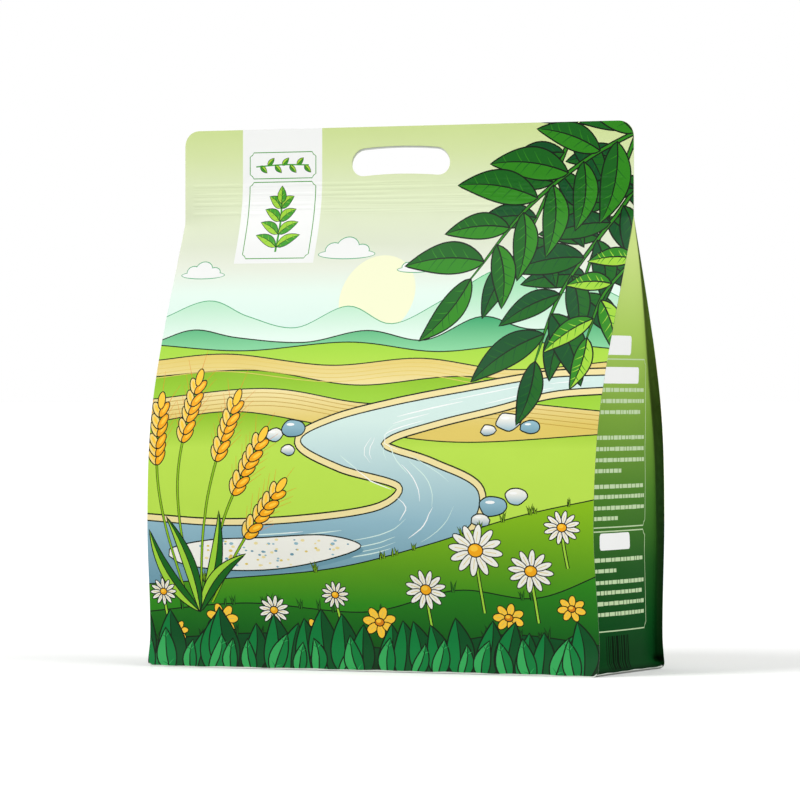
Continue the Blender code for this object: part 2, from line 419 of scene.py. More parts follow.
valley = {
    "seed": 21,
    "edge": 155,
    "farHills": [(-155, 212), (-122, 224), (-92, 214), (-58, 207), (-26, 220), (6, 209), (38, 224),
                 (72, 242), (104, 226), (130, 231), (155, 222)],
    "nearHills": [(-155, 198), (-128, 206), (-96, 201), (-50, 198), (-10, 205), (30, 199), (64, 213),
                  (100, 205), (155, 211)],
    "terraces": [
        ([(-155, 197), (-90, 193), (-20, 198), (40, 192), (100, 197), (155, 193)], "limePale", "lime"),
        ([(-155, 187), (-100, 191), (-30, 184), (30, 188), (90, 181), (155, 186)], "sand", "tan"),
        ([(-155, 177), (-80, 181), (-10, 172), (60, 177), (155, 170)], "lime", "meadow"),
        ([(-155, 163), (-70, 170), (0, 161), (70, 163), (155, 156)], "tan", "sand"),
        ([(-155, 148), (-90, 156), (-20, 147), (60, 138), (155, 143)], "limePale", "meadow"),
    ],
    "upperBank": [(158, 178), (112, 176), (62, 168), (18, 160), (-22, 150), (-42, 138), (-14, 124),
                  (26, 113), (14, 98), (-36, 90), (-96, 87), (-158, 90)],
    "lowerBank": [(158, 171), (118, 168), (82, 159), (48, 151), (18, 142), (14, 134), (46, 124),
                  (76, 109), (66, 84), (16, 64), (-62, 54), (-158, 47)],
    "sandBar": [(-126, 64), (-96, 60), (-58, 61), (-20, 68), (0, 76), (-24, 82), (-66, 80), (-104, 78),
                (-132, 72)],
    "meadows": [
        ([(-155, 50), (-90, 55), (-20, 62), (40, 76), (100, 94), (155, 106)],
         [(0, "leafDark"), (40, "leaf"), (100, "meadow")]),
        ([(-155, 33), (-80, 40), (0, 36), (60, 50), (110, 46), (155, 62)],
         [(0, "deep"), (26, "leafDark"), (60, "leaf")]),
        ([(-155, 16), (-60, 22), (20, 14), (90, 24), (155, 18)], [(0, "deep"), (24, "pine")]),
    ],
}


def draws(number):
    # each layer of the print has its own fixed draws
    return random.Random(valley["seed"] + number)


def valleyBackground(sheet):
    edge = valley["edge"]
    # the inks dip darker round the neck: painted shade that offsets the stronger light where the neck slopes
    # up
    sky = [(200, "aqua"), (228, "mist"), (244, "cream"), (258, "neckShade"), (276, "headerLow"),
           (297, "headerMid"), (314, "headerHigh"), (330, "headerTop")]
    box(sheet, -edge, -5, edge, 335, fade(sky))
    fill(sheet, oval((-8, 226), (25, 25), step=3), "sun")
    land(sheet, valley["farHills"], 150, fade([(200, "mist"), (240, "tealFar")]), 0.5, "teal")
    land(sheet, valley["nearHills"], 150, fade([(190, "tealFar"), (212, "teal")]))
    for crest, low, high in valley["terraces"]:
        top = max(z for x, z in crest)
        land(sheet, crest, 40, fade([(top - 22, low), (top, high)]))


def furrows(sheet):
    # fine lines that follow the sown fields
    for crest, low, high in valley["terraces"][1::2]:
        for k in range(1, 5):
            line = smooth([(x, z - 2.4 * k - 0.4 * k * abs(x) / 155) for x, z in crest], 6)
            stroke(sheet, line, 0.4, "tan" if low == "sand" else "earth")


def stream(sheet):
    upper, lower = smooth(valley["upperBank"], 3), smooth(valley["lowerBank"], 3)
    loop = np.vstack([upper, lower[::-1]])
    water = fade([(50, "slate"), (90, "blueGrey"), (150, "water")])
    for wider, ink in ((4.6, "pen"), (3.7, "sand"), (0.4, "pen"), (-0.4, water)):
        fill(sheet, grown(loop, wider), ink)
    rng = draws(0)
    count = 120
    a = upper[np.linspace(0, len(upper) - 1, count).astype(int)]
    b = lower[np.linspace(0, len(lower) - 1, count).astype(int)]
    for k in range(34):
        start = rng.randrange(4, count - 16)
        share = rng.uniform(0.15, 0.85)
        piece = (a + (b - a) * share)[start : start + rng.randrange(6, 14)]
        ink = rng.choice(["white", "aqua"])
        stroke(sheet, smooth(piece[::2], 4), rng.uniform(0.5, 1.0), ink, thin=(0.8, 0.8))


def sandBar(sheet):
    # a pale gravel bank in the stream
    rng = draws(1)
    shape = smooth(valley["sandBar"], 4, closed=True)
    fill(sheet, shape + (1.5, -2.5), "slate")
    outlined(sheet, shape, "bone", 0.8)
    inner = (shape - shape.mean(0)) * 0.9 + shape.mean(0)
    for k in range(90):
        x, z = rng.uniform(-124, -8), rng.uniform(62, 80)
        if winding(np.array([(x, z)]), [inner])[0]:
            size = rng.uniform(0.7, 1.5)
            grain = oval((x, z), (size, size * 0.6), step=1.2)
            fill(sheet, grain, rng.choice(["sand", "blueGrey", "tan", "slate"]))


def foreground(sheet):
    rng = draws(2)
    for k, (crest, stops) in enumerate(valley["meadows"]):
        land(sheet, crest, -5, fade(stops))
        line = smooth(crest, 3)
        for j in range(16):
            x, z = line[rng.randrange(4, len(line) - 4)]
            grassTuft(sheet, (x, z - 1), rng.uniform(5, 9), ("meadow", "leaf", "leafDark")[k], rng)


def pebbles(sheet):
    rng = draws(3)
    kinds = {"white": ("bone", "blueGrey"), "grey": ("bone", "slate"), "blue": ("blueGrey", "slate")}
    for x, z, size, kind in (
        (92, 150, 8, "white"), (106, 147, 6, "blue"), (80, 145, 5, "grey"), (86, 100, 9, "blue"),
        (100, 106, 7, "white"), (78, 92, 6, "grey"), (-48, 146, 8, "blue"), (-60, 142, 6, "white"),
        (-50, 133, 5, "grey"), (30, 66, 8, "white"), (18, 60, 6, "blue"),
    ):
        pebble(sheet, (x, z), (size, size * 0.68), *kinds[kind], rng)


def flowers(sheet):
    rng = draws(4)
    for x, z, size in ((74, 74, 17), (108, 62, 14), (128, 88, 11), (40, 50, 13), (-62, 36, 10),
                       (-20, 46, 9), (-138, 46, 9)):
        stalk = smooth([(x + 3, z - size * 2.2), (x + 1, z - size), (x, z)], 4)
        stroke(sheet, stalk, 2.4, "pen")
        stroke(sheet, stalk, 1.2, "lime")
        daisy(sheet, (x, z), size, 12, rng.uniform(0, 1))
    for x, z, size in ((-98, 30, 11), (-34, 24, 9), (8, 30, 11), (92, 34, 10), (132, 40, 9), (-130, 22, 8)):
        daisy(sheet, (x, z), size, 7, rng.uniform(0, 1), "amber", 0.8, "rust")


def grainBunch(sheet):
    rng = draws(5)
    for foot, bow, tip in (
        ((-122, 44), (-140, 110), (-142, 158)), ((-116, 42), (-126, 112), (-118, 172)),
        ((-112, 42), (-104, 104), (-90, 160)), ((-108, 42), (-92, 92), (-70, 138)),
        ((-104, 40), (-82, 74), (-56, 108)),
    ):
        grainEar(sheet, [foot, bow, tip], 6, 9.5, rng)
    for k, (x, z) in enumerate(((-146, 84), (-96, 96), (-78, 70), (-134, 92))):
        leaf(sheet, (-113, 34), (x, z), 9, (-1) ** k * 5, "leafDark", "lime", 0)


def footLeaves(sheet):
    # broad leaves that rise from the bottom edge
    rng = draws(6)
    for row, (step, tall, inkPair) in enumerate(
        ((13, 34, ("pine", "bushGreen")), (15, 22, ("bushGreen", "bushLight")))
    ):
        x = -152 + row * 6
        while x < 152:
            high = tall * rng.uniform(0.72, 1.1)
            lean = rng.uniform(-9, 9)
            leaf(sheet, (x, -4), (x + lean, high), high * 0.55, rng.uniform(-3, 3), *inkPair, 2 * row, 0.9)
            x += step * rng.uniform(0.8, 1.2)


def hangingLeaves(sheet):
    # two sprays behind three others
    for seed, sprays in (
        (8, [([(158, 336), (142, 296), (130, 256), (122, 214)], 11, 44, "pine", "leafDark", 1.2),
             ([(116, 338), (104, 308), (92, 280), (80, 250)], 9, 40, "pine", "leafDark", 1.1)]),
        (7, [([(156, 296), (132, 262), (112, 226), (104, 186)], 10, 46, "pine", "leafDark", 0.9),
             ([(158, 326), (118, 306), (80, 276), (52, 236)], 12, 50, "leafDark", "leaf", 0.9),
             ([(158, 250), (140, 226), (134, 200)], 6, 34, "leaf", "lime", 0.9)]),
    ):
        rng = draws(seed)
        for spray in sprays:
            leafSpray(sheet, *spray, rng)


def skyClouds(sheet):
    # round lobes on a long flat one, so that the pen line runs round all of them together
    lobes = [(0, 0, 0.5, 0.075), (-0.24, 0.07, 0.15, 0.12), (0, 0.11, 0.2, 0.17), (0.25, 0.06, 0.14, 0.1)]
    for cx, cz, length in ((-34, 252, 38), (-130, 240, 30), (14, 242, 24)):
        for ink, extra in (("teal", 0.25), ("paper", -0.25)):
            for x, z, across, tall in lobes:
                reach = (across * length + extra, tall * length + extra)
                fill(sheet, oval((cx + x * length, cz + z * length), reach, step=1.8), ink)


# White strip in the header, with two framed sprigs

labelStrip = {
    "left": -110,
    "right": -55.7,
    "low": 247,
    "high": 340,
    "frames": [(299.6, 315.7), (250, 297.4)],
    "pen": 0.55,
    "notch": 2.6,
}


def label(sheet):
    s = labelStrip
    # the strip is painted greyer low down, painted shade that offsets the stronger light on the sloping neck
    box(sheet, s["left"], s["low"], s["right"], s["high"], fade([(254, "paper"), (278, "white")]))
    for low, high in s["frames"]:
        border = notchedBox(s["left"] + 5, low, s["right"] - 4.3, high, s["notch"])
        ring(sheet, border, s["pen"], "labelGreen")
    middle = (s["left"] + s["right"]) / 2
    for k in range(7):
        side = 1 if k % 2 else -1
        x = middle - 15 + 5 * k
        leaf(sheet, (x, 307.6), (x + 4.5, 307.6 + side * 4.6), 3.2, 0, "labelGreen", "lime", 0, 0.35)
    stroke(sheet, smooth([(middle - 18, 307), (middle, 308), (middle + 18, 307.6)], 3), 0.8, "labelGreen")
    stem = smooth([(middle, 254), (middle + 0.6, 272), (middle, 288)], 3)
    stroke(sheet, stem, 1.3, "labelGreen")
    for k in range(4):
        for side in (1, -1):
            z = 257 + 8 * k
            tip = (middle + side * (15 - 2.2 * k), z + 7.5)
            leaf(sheet, (middle, z), tip, 6.4, side * 1.2, "labelGreen", "lime", 3, 0.4)
    leaf(sheet, (middle, 284), (middle, 295), 6, 0, "labelGreen", "lime", 3, 0.4)


def frontPrint():
    sheet = []
    for layer in (valleyBackground, furrows, skyClouds, stream, sandBar, pebbles, foreground, grainBunch,
                  flowers, hangingLeaves, footLeaves, label):
        layer(sheet)
    cutEdge(sheet, panelOutline(), 1.7)
    return sheet


def cutEdge(sheet, outline, height, width=0.75, waver=0.35):
    # the bare edge of the laminate shows as a pale, uneven line along the bottom
    low = outline[outline[:, 1] <= height]
    path = low[np.argsort(low[:, 0])]
    up = leftOf(unit(np.gradient(path, axis=0)))
    x = path[:, :1]
    inside = width * (1 + waver * np.sin(x * 0.21) * np.sin(x * 0.083 + 1.0))
    fill(sheet, np.vstack([path + up * inside, (path - up)[::-1]]), "core")


# The side print: a fade from lime to dark green, plain frames, bare badges and plain bars

sidePrint = {
    "frames": [(87.5, 187.3), (25.9, 85.1)],
    "frameSides": (-48.5, 34.5),
    "notch": 3.4,
    "badges": [(-48, 189.8, 4.5, 201.3), (-48, 172.8, 20.5, 182.6), (-37, 74.0, 7, 84.0)],
    "rows": [(169, 32), (162.4, 32), (155.8, 26), (140.7, 32), (134, 32), (127.4, 32), (121, -6),
             (111.7, 32), (105.6, 32), (99, 32), (92.8, -12), (68.2, 32), (61.8, -14), (54.9, 32),
             (48.8, 27), (42.4, 32), (36, 32)],
    "rowStart": -44.0,
    "rowHeight": 2.5,
    "dash": (2.6, 7.5),
    "dashGap": 0.9,
    "stripes": [(-30.2, 0.8), (-27.4, 1.2), (-25, 0.9), (-22.6, 2.6), (-18.8, 1.2), (-16.4, 3.4),
                (-11.6, 0.9), (-9, 1.6), (-5.6, 2.4), (-1.6, 1), (0.6, 1.6)],
    "stripeHeights": (3, 23),
    # height, width of the change into the painted fin shade and its shift from the fold
    "finShadeEdges": [(20, 1.5, 3.2), (58, 1.5, 2.8), (76, 1.5, 2.2), (95, 1.5, 1.4), (125, 1.5, 0.8),
                 (157, 3.5, 0.6), (181, 2.5, 0.6), (270, 2, 0.4)],
    "seed": 5,
}


def finShadeEdges(z, gap):
    # where the painted shade of the fin begins and where it is full, beside the fold
    heights, widths, shifts = zip(*sidePrint["finShadeEdges"])
    wide = np.minimum(np.interp(z, heights, widths), 0.5 * gap + 0.1)
    end = gap + np.interp(z, heights, shifts)
    return end - wide, end


def gussetInk(points):
    # printed lime above and dark green below, with painted shade along the folds at both fins
    s, z = points.T
    # the lowest stop is painted shade at the foot, below the flare into the bottom seal
    middle = fade([(2.5, "gussetFootShade"), (4.5, "gussetHem"), (12, "gussetHem"), (32, "gussetFoot"),
                   (64, "gussetDark"), (104, "gussetLow"), (154, "gussetMid"), (205, "gussetHigh"),
                   (252, "gussetTop")])(points)
    finShade = fade([(8, "finShadeFoot"), (60, "finShadeLow"), (108, "finShadeMid"), (157, "finShadeHigh"), (205, "finShadeTop")])(points)
    gap = sideShape(z * mm)[0] / mm
    start, end = finShadeEdges(z, gap)
    share = ease((np.abs(s) - start) / (end - start))
    # the painted shade is darkest at the fold and at the fin's own edge
    across = np.clip((np.abs(s) - gap) / (bagForm["finWidth"] / mm), 0, 1)
    finShade = finShade * (0.8 + 0.5 * np.sin(math.pi * across))[:, None]
    # a small painted shadow lies beside the fold, just above the bottom seal, where the gusset tucks in
    pocketShadow = ease((z - 3.5) / 2) * ease((10.5 - z) / 4) * ease((np.abs(s) - gap + 9) / 6)
    ink = middle + (finShade - middle) * share[:, None]
    return ink + (inks["deep"] * 0.3 - ink) * pocketShadow[:, None]


def gussetPrint():
    sheet = []
    p = sidePrint
    box(sheet, -80, -5, 80, 290, gussetInk)
    left, right = p["frameSides"]
    for low, high in p["frames"]:
        ring(sheet, notchedBox(left, low, right, high, p["notch"]), 0.7, "rule")
    for badge in p["badges"]:
        fill(sheet, roundedBox(*badge, 2.2), "white")
    rng = random.Random(p["seed"])
    for middle, end in p["rows"]:
        x = p["rowStart"]
        while x < end - 1.5:
            length = min(rng.uniform(*p["dash"]), end - x)
            half = p["rowHeight"] / 2 * rng.uniform(0.85, 1.0)
            box(sheet, x, middle - half, x + length, middle + half, "rule")
            x += length + p["dashGap"]
    low, high = p["stripeHeights"]
    for x, width in p["stripes"]:
        box(sheet, x, low, x + width, high, "stripe")
    cutEdge(sheet, sideOutline(), 0.01, width=1.6, waver=0.15)
    return sheet


def winding(points, loops):
    # how many times the loops go round each point
    order = np.argsort(points[:, 1], kind="stable")
    x, z = points[order].T
    turns = np.zeros(len(points), int)
    for loop in loops:
        ends = np.roll(loop, -1, axis=0)
        spans = np.stack([np.minimum(loop[:, 1], ends[:, 1]), np.maximum(loop[:, 1], ends[:, 1])])
        first, last = np.searchsorted(z, spans)
        for k in np.nonzero(last > first)[0]:
            (ax, az), (bx, bz) = loop[k], ends[k]
            near = slice(first[k], last[k])
            side = (bx - ax) * (z[near] - az) - (x[near] - ax) * (bz - az)
            if bz > az:
                turns[near] += side > 0
            else:
                turns[near] -= side < 0
    result = np.empty(len(points), int)
    result[order] = turns
    return result


# Films: a flat cut sheet with its print, laid on the bag's form and given its thickness

shell = {
    "step": 4.0,
    "backStep": 6.4,
    "weld": 0.004,
    "rimCore": 0.08,
    "sharpAngle": 50.0,
    "rowsPerRib": 8,
    "baseInset": (0.5, 0.7),
    "baseSeal": 0.008,
}


def densify(loop, step):
    points = []
    for a, b in zip(loop, np.roll(loop, -1, axis=0)):
        count = max(int(math.ceil(np.linalg.norm(b - a) / step)), 1)
        points += [a + (b - a) * k / count for k in range(count)]
    return np.array(points)


def triangulate(points, edges, lines, extra, weld, cut):
    # the triangles inside the cut that keep the edges and the open lines
    points, edges = list(points), list(edges)
    for line in lines:
        edges += [(len(points) + i, len(points) + i + 1) for i in range(len(line) - 1)]
        points += list(line)
    points += list(extra)
    found = delaunay_2d_cdt([Vector(p) for p in points], edges, [], 0, weld)
    points, triangles = np.array([tuple(v) for v in found[0]]), np.array(found[2])
    centres = points[triangles].mean(1)
    kept = winding(centres, cut[:1]) != 0
    for hole in cut[1:]:
        kept &= winding(centres, [hole]) == 0
    used, renumbered = np.unique(triangles[kept], return_inverse=True)
    return points[used], renumbered.reshape(-1, 3)


def gridPoints(low, high, step):
    points = []
    for i, z in enumerate(np.arange(low[1] + step / 2, high[1], step)):
        start = low[0] + step / 2 * (1 + i % 2)
        points += [(x, z) for x in np.arange(start, high[0], step)]
    return np.array(points)


def cutSheet(cut, sheet, guides, rows):
    # cut is the outline and its holes; returns flat points, triangles and each triangle's colours
    step = shell["step"]
    low, high = cut[0].min(0), cut[0].max(0)
    extra = gridPoints(low, high, step)
    if len(rows):
        band = (extra[:, 1] < min(rows) - step / 2) | (extra[:, 1] > max(rows) + step / 2)
        across = np.arange(low[0] + 1.5, high[0], 3.2)
        extra = np.vstack([extra[band]] + [np.c_[across, np.full(len(across), z)] for z in rows])
    points, edges = [], []
    for loop in cut + [densify(loop, step) for shape, ink in sheet for loop in shape]:
        first, count = len(points), len(loop)
        points += list(loop)
        edges += [(first + i, first + (i + 1) % count) for i in range(count)]
    points, triangles = triangulate(points, edges, guides, extra, shell["weld"], cut)
    triangles = triangles[np.argsort(points[triangles].mean(1)[:, 1])]
    centres = points[triangles].mean(1)
    # the topmost shape round a triangle's middle gives the triangle its ink
    owner = np.full(len(triangles), -1)
    for k, (shape, ink) in enumerate(sheet):
        around = np.vstack(shape)
        lowest, highest = around.min(0), around.max(0)
        first, last = np.searchsorted(centres[:, 1], (lowest[1], highest[1]))
        x = centres[first:last, 0]
        near = first + np.nonzero((x > lowest[0]) & (x < highest[0]))[0]
        if len(near):
            owner[near[winding(centres[near], shape) != 0]] = k
    colours = np.tile(inks["baseGreen"], (len(triangles), 3, 1))
    byOwner = np.argsort(owner, kind="stable")
    starts = np.searchsorted(owner[byOwner], np.arange(len(sheet) + 1))
    for k in np.nonzero(np.diff(starts))[0]:
        mine = byOwner[starts[k] : starts[k + 1]]
        colours[mine] = sheet[k][1](points[triangles[mine]].reshape(-1, 2)).reshape(-1, 3, 3)
    return points, triangles, colours


def borderEdges(triangles):
    sides = np.vstack([triangles[:, [0, 1]], triangles[:, [1, 2]], triangles[:, [2, 0]]])
    twins = {tuple(pair) for pair in sides.tolist()}
    return np.array([pair for pair in sides.tolist() if (pair[1], pair[0]) not in twins])


def filmShell(name, cut, sheet, place, guides=(), rows=()):
    # place(points in mm, inset 0 or 1) gives the outer or the inner face in metres
    flat, triangles, colours = cutSheet(cut, sheet, guides, rows)
    border = borderEdges(triangles)
    rim = np.unique(border)
    rimEdges = np.searchsorted(rim, border).tolist()
    backGrid = gridPoints(flat.min(0), flat.max(0), shell["backStep"])
    backFlat, backTriangles = triangulate(flat[rim], rimEdges, guides, backGrid, 1e-5, cut)
    nearest = kdtree.KDTree(len(backFlat))
    for i, point in enumerate(backFlat):
        nearest.insert((*point, 0.0), i)
    nearest.balance()
    shift = len(flat)
    twin = {int(v): nearest.find((*flat[v], 0.0))[1] + shift for v in rim}
    faces = triangles.tolist()
    faces += (backTriangles[:, ::-1] + shift).tolist()
    faces += [[b, a, twin[a], twin[b]] for a, b in border.tolist()]
    mesh = bpy.data.meshes.new(name)
    mesh.from_pydata(np.vstack([place(flat, 0.0), place(backFlat, 1.0)]).tolist(), [], faces)
    mesh.validate()
    ink = np.ones((len(mesh.loops), 4), np.float32)
    outer = len(triangles) * 3
    inner = outer + len(backTriangles) * 3
    ink[:outer, :3] = colours.reshape(-1, 3)
    ink[outer:inner, :3] = inks["inside"]
    # the cut edge between them carries a thin mix of the print and the bare laminate
    edgeInk = np.ones((len(flat), 3))
    edgeInk[triangles.ravel()] = colours.reshape(-1, 3)
    edgeInk = edgeInk * (1 - shell["rimCore"]) + inks["core"] * shell["rimCore"]
    ink[inner:, :3] = edgeInk[border[:, [1, 0, 0, 1]]].reshape(-1, 3)
    mesh.color_attributes.new("ink", "FLOAT_COLOR", "CORNER").data.foreach_set("color", ink.ravel())
    both = np.vstack([flat, backFlat])
    share = (both - flat.min(0)) / np.ptp(flat, axis=0).max()
    index = np.zeros(len(mesh.loops), np.int32)
    mesh.loops.foreach_get("vertex_index", index)
    uv = np.zeros((len(index), 2), np.float32)
    uv[:outer] = 0.01 + 0.90 * share[index[:outer]]
    uv[outer:] = (0.93, 0.02) + 0.06 * share[index[outer:]]
    uv[-4 * len(border) :: 2] += (0.003, 0.0)
    mesh.uv_layers.new(name="OFBake").data.foreach_set("uv", uv.ravel())
    return mesh, both


def slackOf(flat, outline, reach, sealedAbove):
    # 0 at the sealed edges and in the sealed header, 1 where the film hangs free
    right = outline[outline[:, 0] > 0]
    right = right[np.argsort(right[:, 1])]
    x, z = flat.T
    away = np.minimum(np.interp(z, right[:, 1], right[:, 0]) - np.abs(x), z - outline[:, 1].min())
    away = np.minimum(away, sealedAbove - z)
    return ease((away - reach[0]) / (reach[1] - reach[0]))


# slip sets the back film's slot a little lower
slot = {"width": 66.0, "height": 17.0, "drop": 20.5, "arch": 2.0, "offset": -2.7, "slip": 1.2}


def slotLoop(side, slip=0.0):
    reach, radius = slot["width"] / 2, slot["height"] / 2
    points = []
    for end in (1, -1):
        for i in range(13):
            a = math.pi * (i / 12 - 0.5)
            points.append((end * (reach - radius + radius * math.cos(a)), end * radius * math.sin(a)))
        for i in range(1, 14):
            points.append((end * (reach - radius) * (1 - i / 7), end * radius))
    x, z = np.array(points).T
    middle = bagForm["height"] / mm - slot["drop"] - slip
    return np.c_[x + side * slot["offset"], z - slot["arch"] * (x / reach) ** 2 + middle]


def sideHeights(low, high, step):
    b = bagForm
    heights = [b["bottomCorner"] * (1 - math.cos(math.pi / 2 * k / 5)) for k in range(6)]
    heights += list(np.arange(b["bottomCorner"] + step, b["height"] - b["topCorner"], step))
    heights += [b["height"] - b["topCorner"] * (1 - math.sin(math.pi / 2 * k / 8)) for k in range(9)]
    return np.array([z for z in sorted(set(heights)) if low <= z <= high])


def panelOutline():
    z = sideHeights(0.0, bagForm["height"], 0.004)
    right = np.c_[halfWidth(z), z]
    return densify(np.vstack([right, right[::-1] * (-1, 1)]) / mm, 4.0)


def placePanel(points, inset):
    x, z = points.T * mm
    depth = panelDepth(x, z)
    b = bagForm
    header = ease((z - neckHeight) / (zipTop - neckHeight))
    thick = b["film"] + (b["fin"] - b["seamGap"] - b["film"]) * header
    return np.c_[x, -depth + inset * thick, z + edgeLift(x, -depth, z)]


def sideShape(z):
    # the gusset at each height: half its depth, its root, its fin band and its swell
    b = bagForm
    gap = finDepth(z) - b["fin"]
    below = ease((gussetTop - z) / (gussetTop - b["shoulder"]))
    above = np.sqrt(ease((z - b["flange"]) / b["flangeFlare"]))
    band = b["finWidth"] * below * above
    swell = b["sideSwell"] * ease(gap * 2 / b["bellyDepth"]) * above
    return gap, halfWidth(z) - band, band, swell


def foldTurn(gap, band):
    # how tightly the film turns from the side into the fin
    return np.minimum(np.minimum(bagForm["foldRadius"], 0.45 * band), 0.3 * gap)


def sideLine(s, z):
    gap, root, band, swell = sideShape(z)
    turn = np.maximum(foldTurn(gap, band), 1e-7)
    a = np.abs(s)
    flatPart = np.minimum(a, gap - turn)
    x = root + swell * (1 - (flatPart / np.maximum(gap, 1e-7)) ** 2)
    t = np.clip((a - gap + turn) / (2 * turn), 0, 1)
    x = x * (1 - t) ** 2 + root * 2 * t * (1 - t) + (root + turn) * t * t
    y = flatPart * (1 - t) ** 2 + gap * 2 * t * (1 - t) + gap * t * t
    return np.array([x + np.maximum(a - gap - turn, 0), y * np.sign(s)])


def placeSide(points, inset):
    s, z = points.T * mm
    step = 0.0002
    along = unit((sideLine(s + step, z) - sideLine(s - step, z)).T)
    x, y = sideLine(s, z) + leftOf(along).T * bagForm["film"] * inset
    return np.c_[x, y, z + edgeLift(x, y, z)]


def sideOutline():
    z = sideHeights(0.0, gussetTop - 0.0005, 0.003)
    gap, root, band, swell = sideShape(z)
    right = np.c_[gap + band, z]
    return densify(np.vstack([right, [(0.0, gussetTop)], (right * (-1, 1))[::-1]]) / mm, 3.5)


def sideGuides():
    # upright lines along each fold's turn and the edges of its painted shade, and level lines over the flare
    # at the foot
    z = sideHeights(0.002, gussetTop - 0.003, 0.003)
    gap, root, band, swell = sideShape(z)
    turn = foldTurn(gap, band)
    reaches = [(gap + turn * share) / mm for share in (-1, -0.5, 0, 0.5, 1)]
    for edge in finShadeEdges(z / mm, gap / mm):
        reaches.append(np.clip(edge, 0.3 * gap / mm, (gap + band) / mm - 0.4))
    lines = [np.c_[side * reach, z / mm] for side in (1, -1) for reach in reaches]
    for share in (0.0, 0.03, 0.1, 0.2, 0.35, 0.55, 0.8, 1.1):
        level = bagForm["flange"] + bagForm["flangeFlare"] * share
        gap, root, band, swell = sideShape(level)
        reach = (gap + band) / mm - 0.3
        across = np.linspace(-reach, reach, 31)
        lines.append(np.c_[across, np.full(31, level / mm)])
    return lines


def placeBase(points, inset):
    x, y = points[:, 0] * mm, -points[:, 1] * mm
    inwards = np.minimum(halfWidth(0.0) - np.abs(x), finDepth(0.0) - np.abs(y))
    rise = edgeLift(x, y, np.zeros(len(x))) * (1 - ease(inwards / shell["baseSeal"]))
    return np.c_[x, y, rise + inset * bagForm["film"]]


# Relief that geometry nodes press into the films

relief = {"Rib top": zipTop, "Rib pitch": 0.0029, "Rib count": 7.0, "Rib reach": 0.143,
          "Ripple size": 0.055, "Crease size": 0.075}
ownRelief = {
    "inputs": ("Rib height", "Ripple height", "Crease height", "Seed"),
    "frontPanel": (0.0002, 0.0004, 0.0005, 3.0),
    "backPanel": (0.0002, 0.0005, 0.0006, 8.0),
    "rightGusset": (0.0, 0.0004, 0.0005, 5.0),
    "leftGusset": (0.0, 0.0004, 0.0005, 11.0),
    "basePanel": (0.0, 0.0, 0.0, 1.0),
}


def setInputs(tree, node, values):
    # a value that is a socket is linked, any other is set
    for key, value in values.items():
        if isinstance(value, bpy.types.NodeSocket):
            tree.links.new(value, node.inputs[key])
        else:
            node.inputs[key].default_value = value


def addNode(tree, kind, values=None, **settings):
    node = tree.nodes.new(kind)
    for key, value in settings.items():
        setattr(node, key, value)
    setInputs(tree, node, values or {})
    return node


def calc(tree, operation, a, b=0.0, c=0.0):
    return addNode(tree, "ShaderNodeMath", {0: a, 1: b, 2: c}, operation=operation).outputs[0]


def noise(tree, place, scale, detail, seed=None):
    # with a seed the noise has a fourth dimension
    values = {"Vector": place, "Scale": scale, "Detail": detail}
    if seed is None:
        return addNode(tree, "ShaderNodeTexNoise", values).outputs[0]
    return addNode(tree, "ShaderNodeTexNoise", {**values, "W": seed}, noise_dimensions="4D").outputs[0]


def scaled(tree, vector, factor):
    return addNode(tree, "ShaderNodeVectorMath", {0: vector, "Scale": factor}, operation="SCALE").outputs[0]


def mapped(tree, value, low, high):
    return addNode(tree, "ShaderNodeMapRange", {0: value, 3: low, 4: high}).outputs[0]


